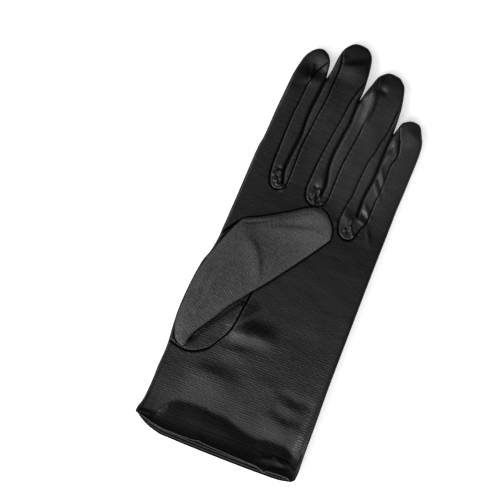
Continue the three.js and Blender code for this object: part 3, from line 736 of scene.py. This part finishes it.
edge_index = np.flatnonzero(on_edge)
back_edge_index = np.flatnonzero(back_on_edge)
apart = np.linalg.norm(back_points[back_edge_index, None] - points[None, edge_index], axis=2)
partner = edge_index[apart.argmin(1)]
print("edge points", len(edge_index), len(back_edge_index), "farthest apart", apart.min(1).max())
shut_slits(points, on_edge)
shut_slits(back_points, back_on_edge)

# %% [markdown]
# ## The trank, the fourchettes and the thumb's gusset
# The trank is the palm and the back in one piece of cloth. The fourchettes are the strips
# between the fingers, and the gusset is the part of the thumb piece that shows beside the
# folded thumb. A sheet with no thickness would look like paper at the cuff, so the Solidify
# modifier gives each piece the thickness of the cloth, inwards. Each point also remembers how
# near it is to the fold at the glove's side, which the satin needs later.

# %% Helpers for the pieces
CLOTH = 0.45  # thickness of the satin, in mm
FOLD_REACH = (1.1, 0.1)  # from and to how near to the edge the cloth counts as folded
pieces = {}


def put_on(piece, nodes):
    """Ties a piece to the glove's body, its solids and its finish."""
    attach(piece, "root")
    if nodes:
        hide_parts(*nodes)
    pieces[piece.name] = piece


def mark_fold(piece, edge):
    """Tells the finish how near each point is to the edge where the cloth turns over."""
    layer = piece.data.attributes.new("fold", "FLOAT", "POINT")
    layer.data.foreach_set("value", smooth_step(edge, *FOLD_REACH))


def thicken(piece):
    """Gives a sheet the cloth's thickness, on its inner side."""
    solid = piece.modifiers.new("cloth thickness", "SOLIDIFY")
    solid.thickness = CLOTH * MM
    solid.offset = -1.0


def sheet_object(name, own_faces, with_back=False):
    """One piece of cloth: its part of the palm side and, for the trank, the back as well."""
    used, local = np.unique(own_faces, return_inverse=True)
    top_faces = local.reshape(-1, 3)
    heights = np.column_stack([points[used], top_z[used]])
    if not with_back:
        strip = new_object(name, heights * MM, top_faces)
        mark_fold(strip, levels[0][used])
        return strip
    back_index = np.arange(len(back_points)) + len(used)
    position = np.full(len(points), -1)
    position[used] = np.arange(len(used))
    joined = position[partner] >= 0
    back_index[back_edge_index[joined]] = position[partner[joined]]
    lonely = back_edge_index[~joined]
    back_z[lonely] = top_z[partner[~joined]]
    both = np.vstack([heights, np.column_stack([back_points, back_z])])
    hand = new_object(name, both * MM, np.vstack([top_faces, back_index[back_faces][:, ::-1]]))
    mark_fold(hand, np.concatenate([levels[0][used], back_levels[0]]))
    return hand


print("satin", CLOTH, "mm thick")

# %% Trank, fourchettes and gusset
trank = sheet_object("trank_satin", faces[owner == "trank"], with_back=True)
put_on(trank, ["trank"])
thicken(trank)
for name in FOURCHETTE_SEAMS:
    strip = sheet_object("fourchette_" + name + "_satin", faces[owner == name])
    put_on(strip, ["fourchette_" + name])
    thicken(strip)
gusset = sheet_object("thumb_gusset_satin", faces[owner == "thumb"])
put_on(gusset, [])
thicken(gusset)
print("pieces", list(pieces))

# %% [markdown]
# ## The folded thumb
# The thumb is a flat pocket that lies on the palm. Its upper and lower cloth meet in a soft
# edge all round, so one filled outline is lifted twice: once to lie just above the palm, and
# once more by the pocket's own thickness. The seam of the hole shows through it as a soft ridge.

# %% Folds of the thumb
THUMB_FOLDS = [
    # x, y, turn, length, breadth, rise
    (-35, -30, 84, 11, 1.1, -0.2), (-32.4, -31, 82, 14, 1.6, 0.12), (-38.2, -32, 84, 13, 1.4, 0.12),
    (-29, -12, 80, 7, 1.2, 0.15), (-27, 3, 40, 5, 2.5, 0.2), (-31.5, -44, 62, 12, 1.6, 0.12),
]
THUMB_CREASES = [
    # rise, breadth on the left, on the right, line: the hole's seam shows through the thumb,
    # and a dent runs to its tip
    (0.6, 1.6, 5, [(-27, 1.8), (-20, -2.6), (-16.5, -5.9), (-13.6, -11.2), (-10.6, -21)]),
    (0.55, 1.4, 6, [(-19, 6.8), (-8, 10.6), (-1, 12.7), (6, 14.6), (14.4, 13.8)]),
    (1.3, 1.2, 6.5, [(-24, 9.4), (-12, 15.8), (-2, 22), (6, 25.2), (14.5, 22)]),
    (0.35, 0.45, 0.45, [
        (-29.2, 7.2), (-20.7, 11.2), (-13.3, 15.6), (-7.4, 19.2), (0, 24), (3.6, 25.6)
    ]),
    (-0.4, 0.5, 0.5, [
        (-28.4, 6.2), (-20.2, 10.1), (-12.8, 14.5), (-6.9, 18.1), (0.5, 22.9), (4, 24.4)
    ]),
]
print("thumb", len(THUMB_FOLDS), "folds and", len(THUMB_CREASES), "creases")

# %% Thumb pocket
THUMB_LIFT = 0.4  # gap between the palm and the thumb
PALM_SHARE = 0.93  # share of the palm's height below the thumb's edge
RIM_LEVEL = 3.6  # height of the pocket's edge above its underside
UNDER_CURL = 2.6  # how far in from the edge the underside comes down
RIM_ROLL = 0.4  # rise and breadth of the round edge
THUMB_CURVES = [(0.25, 1.5), (0.35, 11)]  # slow rises: rise and breadth
THUMB_RELIEF = (0.10, 9, 31)  # rise, size of its patches, seed
THUMB_DETAIL_BEGINS = 1.6  # how far in the folds have their full height

flap_points, flap_faces = fine_mesh(flap_outline, [], flap_ring)
flap_x, flap_y = flap_points.T
rim_gap = near(flap_points, flap_ring)[0]
_, level, reach = body_levels(flap_points)
base = level * (PALM_SHARE + (1 - PALM_SHARE) * slow_rise(rim_gap / reach)) + THUMB_LIFT
lower = base + RIM_LEVEL * (1 - rounded(rim_gap / UNDER_CURL, 2.0))
upper = base + RIM_LEVEL + RIM_ROLL * roll(rim_gap / RIM_ROLL)
for rise, breadth in THUMB_CURVES:
    upper += rise * slow_rise(rim_gap / breadth)
rise, patch, seed = THUMB_RELIEF
crinkle = folds_at(flap_x, flap_y, THUMB_FOLDS) + creases_at(flap_points, THUMB_CREASES)
crinkle += rise * relief(flap_x, flap_y, patch, patch, seed)
upper += smooth_step(rim_gap, 0.0, THUMB_DETAIL_BEGINS) * crinkle

# %% Join the thumb's two layers
rim = rim_gap < ON_EDGE
lower_index = np.arange(len(flap_points)) + len(flap_points)
lower_index[rim] = np.flatnonzero(rim)
upper[rim] = lower[rim]
flap_all = np.vstack([np.column_stack([flap_points, upper]), np.column_stack([flap_points, lower])])
flap = new_object(
    "thumb_satin", flap_all * MM, np.vstack([flap_faces, lower_index[flap_faces][:, ::-1]])
)
mark_fold(flap, np.tile(rim_gap, 2))
put_on(flap, ["thumb"])
print("thumb top at", round(float(upper.max()), 1), "mm,", len(flap_faces) * 2, "triangles")

# %% [markdown]
# ## The hem
# At the cuff the satin is turned under and stitched, which makes a thicker band round the
# mouth. The palm's band ends a few millimetres before the back's, so the mouth shows both. Each
# section of the band starts at the stitching, runs out to the edge, rolls over it and comes back
# inside. A bevel of the trank's rim couldn't give two different lips.

# %% Shape of the hem
MOUTH = np.array([
    # x, palm edge, back edge
    (-46.9, -106.4, -107.6), (-44, -107.5, -109.8), (-40, -108.3, -111.5),
    (-36, -109.5, -113), (-30, -110.5, -114.5), (-16, -110.6, -114.9),
    (-11.5, -110.1, -115), (-9.5, -109.5, -115), (-7, -110.1, -115.1),
    (10, -110.9, -115.2), (23, -111.3, -115.2), (26.6, -112.2, -115.1),
    (28.4, -113.2, -115.1), (29.4, -111.8, -115.05), (36, -111.4, -115),
    (41.3, -111.4, -114.7), (43, -112.8, -114.4), (44.4, -111.8, -113.6),
    (46.1, -109.8, -111.6),
]) + (SHIFT[0], SHIFT[1], SHIFT[1])
PALM_BAND = [
    # share of the way out, lift
    (-0.25, -0.6), (-0.2, -0.25), (-0.17, 0), (-0.14, 0.04), (-0.06, 0.05), (0.04, 0.08),
    (0.14, 0.12), (0.26, 0.2), (0.38, 0.32), (0.5, 0.46), (0.6, 0.6), (0.7, 0.76), (0.8, 0.94),
    (0.88, 1.12), (0.93, 1.22), (0.955, 1.2), (0.98, 0.98), (0.995, 0.6), (1, 0.1), (0.99, -0.5),
    (0.95, -1), (0.8, -1.35), (0.4, -1.35), (-0.1, -1.2), (-0.9, -0.9),
]
BACK_BAND = [
    # share of the way out, height above the lowest cloth
    (-0.08, 0.1), (0, 0.1), (0.2, 0), (0.4, 0), (0.6, 0), (0.8, 0), (0.95, 0),
    (0.985, 0.05), (0.995, 0.25), (1, 0.7), (0.992, 1), (0.975, 1.1), (0.955, 0.98),
    (0.925, 0.8), (0.9, 0.72), (0.885, 0.85), (0.872, 1.12), (0.855, 1.2), (0.83, 1.02),
    (0.8, 0.8), (0.775, 0.74), (0.76, 0.9), (0.745, 1.15), (0.725, 1.2), (0.7, 1),
    (0.66, 0.7), (0.6, 0.5), (0.4, 0.5), (0.2, 0.7), (-0.9, 1.2),
]
print("hem", len(PALM_BAND), "and", len(BACK_BAND), "rows")

# %% Hem ring
CORNER, LIFT_BEGINS = 0.03, 0.04  # shares of the width: the lips part, and the band thickens
BACK_TUCK = 0.3  # lift above which the back's band is tucked in at its corners
AROUND_STEPS = 140  # sections from side to side


def hem_strip(shares, band, edge_column, on_palm):
    """Rows of points from the stitching out and back in, for one side of the mouth."""
    to_side = np.minimum(shares, 1 - shares)
    inwards = smooth_step(to_side, 0.0, LIFT_BEGINS)
    x = left_end[0] + shares * (right_end[0] - left_end[0])
    edge_y = np.interp(x, MOUTH[:, 0], MOUTH[:, edge_column])
    palm_y = np.interp(x, MOUTH[:, 0], MOUTH[:, 1])
    edge_y += (palm_y - edge_y) * np.exp(-to_side / CORNER)
    rows = []
    for out, lift in band:
        y = HEM_LINE + out * (edge_y - HEM_LINE)
        left = side_at(y, left_run)
        x = left + shares * (side_at(y, right_run) - left)
        place = np.column_stack([x, y])
        place_levels = body_levels(place)
        z = top_height(place, place_levels) if on_palm else bottom_height(place_levels)
        tuck = max(0.0, -lift if on_palm else lift - BACK_TUCK)
        x += tuck * (1 - 2 * shares) * (1 - inwards)
        rows.append(np.column_stack([x, y, z + lift * inwards]))
    return rows


palm_shares = 0.5 - 0.5 * np.cos(np.linspace(0, math.pi, AROUND_STEPS + 1))
back_shares = palm_shares[::-1][1:-1]
palm_rows = hem_strip(palm_shares, PALM_BAND, 1, True)
back_rows = hem_strip(back_shares, BACK_BAND, 2, False)
ring = [np.vstack([p, b]) for p, b in zip(palm_rows, back_rows)]
around = len(ring[0])
hem_points = np.vstack(ring)
hem_faces = []
for r in range(len(ring) - 1):
    for i in range(around):
        a, b = r * around + i, r * around + (i + 1) % around
        hem_faces.append((a, a + around, b + around, b))
hem = new_object("cuff_hem_satin", hem_points * MM, hem_faces)
mark_fold(hem, near(hem_points[:, :2], outline)[0])
put_on(hem, ["cuff_hem"])
print("hem", len(hem_faces), "faces, reaches y", hem_points[:, 1].min().round(1), "mm")

# %% [markdown]
# ## The floor's finish and the sky
# The picture has a plain white ground and hardly any shadow, which needs light from nearly
# everywhere. A sky gives most of it. Black satin shows little but what it mirrors, so the sky is
# brighter on the cuff's side, and a slope that faces that side lights up while one that faces
# away stays dark. A single lamp would leave most folds black. One small helper makes every node,
# sets its sockets and links it.

# %% White paper and sky
def add(tree, kind, sockets, **settings):
    """A new node's outputs. Each socket gets a value, or a link from another node's output."""
    node = tree.nodes.new("ShaderNode" + kind)
    for key, value in settings.items():
        setattr(node, key, value)
    for socket, value in sockets.items():
        if isinstance(value, bpy.types.NodeSocket):
            tree.links.new(value, node.inputs[socket])
        else:
            node.inputs[socket].default_value = value
    return node.outputs


PAPER = {
    "Base Color": (0.93, 0.93, 0.93, 1), "Roughness": 0.9,
    "Emission Color": (1, 1, 1, 1), "Emission Strength": 0.5,
}
paper = bpy.data.materials.new("white paper")
paper.use_nodes = True
for socket, value in PAPER.items():
    paper.node_tree.nodes["Principled BSDF"].inputs[socket].default_value = value
floor.data.materials.append(paper)

SKY_SIDE = (-0.20, -0.88, 0.43)  # the side of the sky that is brightest
SKY_LEVELS = [
    # how far towards that side, from 0 to 1, and how bright
    (0.0, 0.04), (0.17, 0.08), (0.3, 0.47), (0.48, 0.53), (0.6, 0.95), (0.8, 2.1), (1.0, 2.5),
]
world = bpy.data.worlds.new("soft white sky")
world.use_nodes = True
sky = world.node_tree
direction = add(sky, "TexCoord", {})["Generated"]
towards = add(sky, "VectorMath", {0: direction, 1: SKY_SIDE}, operation="DOT_PRODUCT")["Value"]
brightness = add(sky, "ValToRGB", {"Fac": towards})["Color"]
stops = brightness.node.color_ramp.elements
while len(stops) < len(SKY_LEVELS):
    stops.new(0.5)
for stop, (position, bright) in zip(stops, SKY_LEVELS):
    stop.position = position
    stop.color = (bright, bright, bright, 1)
sky.links.new(brightness, sky.nodes["Background"].inputs["Color"])
scene.world = world
print("sky", len(stops), "levels")

# %% [markdown]
# ## The lamps
# Two large soft lamps add a gentle gloss: one on the cuff's side for the palm, and a weaker one
# on the thumb's side. Their light is soft because they are wide for their distance.

# %% Lamps
LAMPS = [
    # name, place and aim in metres, width, watts
    ("soft_lamp_cuff_side", (-0.6, -1.0, 0.9), (-0.02, -0.01, 0), 0.6, 9.0),
    ("soft_lamp_thumb_side", (-1.0, 0.1, 0.9), (0.0, 0.02, 0), 0.5, 3.0),
]
for name, stand, aim, width, power in LAMPS:
    data = bpy.data.lights.new(name, "AREA")
    data.shape = "DISK"
    data.size = width
    data.energy = power
    lamp = bpy.data.objects.new(name, data)
    lamp.location = stand
    lamp.rotation_euler = (Vector(aim) - Vector(stand)).to_track_quat("-Z", "Y").to_euler()
    scene.collection.objects.link(lamp)
scene.view_settings.view_transform = "Standard"
print("lamps", [row[0] for row in LAMPS])

# %% [markdown]
# ## Satin
# Satin gets its gloss from threads that all lie one way. Here fine ribs run across the hand,
# a little over a millimetre apart, and break up into short dashes. A wave texture laid out in
# the object's own millimetres gives them, so no picture and no unwrapping is needed. The ribs
# show most near the cuff, where the cloth is stretched least, and hardly at the pressed hem.
# They also lighten the colour on their crests, which paints shade into the grooves between them.
# Cloth that turns over at an edge is duller, as its threads are pulled apart there. Soft patches
# and a speckle of threads vary the tone, and one paler place is painted sheen.

# %% Satin material
RIB_PITCH = 1.25 * MM
WAVE_TURNS = 20  # at scale 1 the wave texture repeats every 2 pi / 20 metres
RIB_WAVER = {"Distortion": 1.4, "Detail": 1.0, "Detail Scale": 0.8}
# noises: stretch, scale, detail and offset
DASHES = ((0.55, 1.0, 0.55), 900.0, 1.0, 0.3)
THREADS = ((0.6, 1.0, 0.6), 1500.0, 1.0, 0.7)
PATCHES = ((1.0, 1.0, 1.0), 38.0, 2.0, 1.1)
DASH_ENDS = (0.38, 0.62)  # noise from and to which a dash fades in
PALM_RIBS = (-0.055, -0.02)  # y in metres between which the ribs weaken
HEM_RIBS = (-0.1, -0.092, 0.35)  # the same for the hem, and their strength there
RIB_BUMP, THREAD_BUMP = 0.0001, 0.00016  # metres
RIB_BUMP_STRENGTH = 0.8
# the ribs' share is painted shade: it lightens their crests, so the grooves between them are darker
RIB_PAINTED_SHADE, PATCH_TONE, THREAD_TONE = 0.6, 0.5, 1.6  # how much each lightens the tone
FOLD_ROUGHNESS = 0.85
PAINTED_SHEEN_LEVEL = 8 * MM  # height from which the distance to the paler place is measured


def satin(
    name, dark, light, painted_sheen, turn=0.0, roughness=0.31, specular=0.35, plain_end=0.3, grain=0.5
):
    """A finish: two tones, a paler place of painted sheen, the ribs' turn, their strength at the
    fingers, grain.
    """
    material = bpy.data.materials.new(name)
    material.use_nodes = True
    tree = material.node_tree
    shader = tree.nodes["Principled BSDF"]
    shader.inputs["Specular IOR Level"].default_value = specular
    place = add(tree, "TexCoord", {})["Object"]
    rotation = (0, 0, math.radians(-turn))
    turned = add(tree, "Mapping", {"Rotation": rotation, "Vector": place})["Vector"]

    def noise(stretch, scale, detail, offset):
        squeeze = {"Scale": stretch, "Location": (offset, offset * 2, offset * 3)}
        squeezed = add(tree, "Mapping", {**squeeze, "Vector": turned})["Vector"]
        return add(tree, "TexNoise", {"Scale": scale, "Detail": detail, "Vector": squeezed})["Fac"]

    def combine(operation, *values):
        return add(tree, "Math", dict(enumerate(values)), operation=operation)[0]

    def ramp(value, low, high, at_low, at_high):
        return add(tree, "MapRange", dict(enumerate((value, low, high, at_low, at_high))))[0]

    def bump(height, distance, strength, **below):
        return add(
            tree, "Bump", {"Distance": distance, "Strength": strength, "Height": height, **below}
        )["Normal"]

    def mix(first, second, share, **settings):
        sockets = {"A": first, "B": second, "Factor": share}
        return add(tree, "Mix", sockets, data_type="RGBA", **settings)["Result"]

    along_hand = add(tree, "SeparateXYZ", {0: place})["Y"]
    wave = {"Scale": 2 * math.pi / (WAVE_TURNS * RIB_PITCH), "Vector": turned, **RIB_WAVER}
    ribs = add(tree, "TexWave", wave, bands_direction="Y")["Fac"]
    ribs = combine("MULTIPLY", ribs, ramp(noise(*DASHES), *DASH_ENDS, 0.0, 1.0))
    ribs = combine("MULTIPLY", ribs, ramp(along_hand, *PALM_RIBS, 1.0, plain_end))
    ribs = combine("MULTIPLY", ribs, ramp(along_hand, *HEM_RIBS, 1.0))
    threads = noise(*THREADS)
    fine = bump(threads, THREAD_BUMP, grain)
    tree.links.new(bump(ribs, RIB_BUMP, RIB_BUMP_STRENGTH, Normal=fine), shader.inputs["Normal"])

    fold = add(tree, "Attribute", {}, attribute_name="fold")["Fac"]
    dull = ramp(fold, 0.0, 1.0, roughness, FOLD_ROUGHNESS)
    tree.links.new(dull, shader.inputs["Roughness"])

    patches = combine("MULTIPLY", noise(*PATCHES), PATCH_TONE)
    # painted shade in the rib grooves: the colour is lighter on the ribs' crests
    tone = combine("MULTIPLY_ADD", ribs, RIB_PAINTED_SHADE, patches)
    speckle = combine("MULTIPLY_ADD", threads, THREAD_TONE * grain, -THREAD_TONE / 2 * grain)
    tone = combine("ADD", tone, speckle)
    colour = mix((dark, dark, dark, 1), (light, light, light, 1), tone)
    # painted sheen: the colour is made paler round one place, and fades out with distance from it
    (x, y), (near_by, far_off), extra = painted_sheen
    centre = (x * MM, y * MM, PAINTED_SHEEN_LEVEL)
    apart = add(tree, "VectorMath", {0: place, 1: centre}, operation="DISTANCE")["Value"]
    share = ramp(apart, near_by * MM, far_off * MM, 1.0, 0.0)
    colour = mix(colour, (extra, extra, extra, 1), share, blend_type="ADD")
    tree.links.new(colour, shader.inputs["Base Color"])
    return material


print("ribs", RIB_PITCH / MM, "mm apart")

# %% [markdown]
# ## Four finishes of one cloth
# The thumb's cloth is turned with the thumb, so its ribs run another way, and its tones are
# painted lighter, as painted sheen for the light that it catches. The strips between the fingers
# get tones a little lighter than the palm's, which is painted sheen as well. The gusset lies as
# flat as the palm does, so it shines like the palm.

# %% Finishes
# a paler place of painted sheen: x and y, how far off it begins and ends to fade, in mm, and the
# extra tone
PAINTED_SHEEN_FINGERS = ((28, 66), (18, 45), 0.013)
PAINTED_SHEEN_THUMB_TIP = ((13, 17), (7, 28), 0.03)
THUMB_TURN = -34.0  # degrees
# painted sheen: the strips' and the thumb's tones are lighter copies of the palm's black
finishes = {
    "palm": satin("black satin", 0.001, 0.005, PAINTED_SHEEN_FINGERS),
    "strip": satin("black satin strip with painted sheen", 0.004, 0.016, PAINTED_SHEEN_FINGERS),
    "hem": satin("black satin hem", 0.001, 0.005, PAINTED_SHEEN_FINGERS),
    "thumb": satin(
        "black satin thumb with painted sheen", 0.010, 0.046, PAINTED_SHEEN_THUMB_TIP, THUMB_TURN,
        roughness=0.38, specular=0.45, plain_end=0.5, grain=1.0,
    ),
}
FINISH_OF = {
    "trank_satin": "palm", "thumb_gusset_satin": "palm", "thumb_satin": "thumb",
    "cuff_hem_satin": "hem",
}
for name, piece in pieces.items():
    piece.data.materials.append(finishes[FINISH_OF.get(name, "strip")])
print("finishes", list(finishes))
